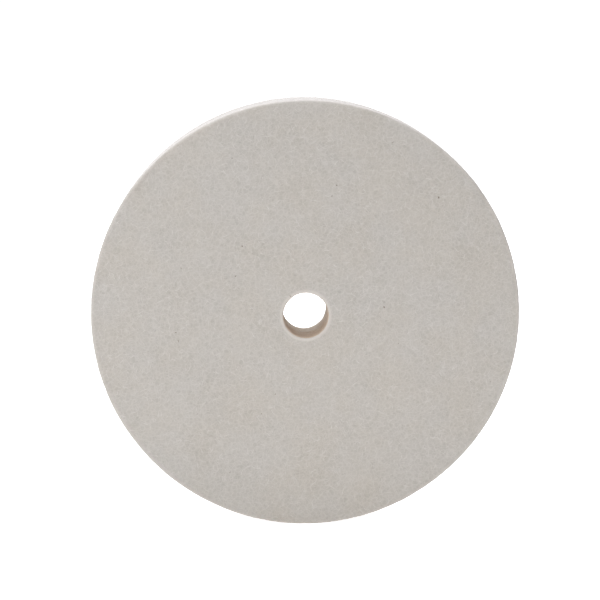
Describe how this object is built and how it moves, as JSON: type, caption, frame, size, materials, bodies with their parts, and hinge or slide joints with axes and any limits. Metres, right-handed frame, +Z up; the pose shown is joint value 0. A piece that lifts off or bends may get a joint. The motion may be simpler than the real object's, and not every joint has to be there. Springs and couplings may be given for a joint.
{
  "type": "felt polishing wheel",
  "caption": "Flat round disc of hard pressed wool felt with a plain arbor hole through its centre, for polishing stone, glass or metal.",
  "frame": {"origin": "centre of the arbor hole, halfway through the felt's thickness", "axes": "+Y along the wheel's axis, from the front face to the back face; +Z up when the wheel stands on a horizontal arbor; +X to the right seen from the front"},
  "size_m": [0.152, 0.022, 0.152],
  "materials": {
    "felt": "matte"
  },
  "bodies": {
    "root": {"felt_disc": "felt"}
  },
  "joints": []
}
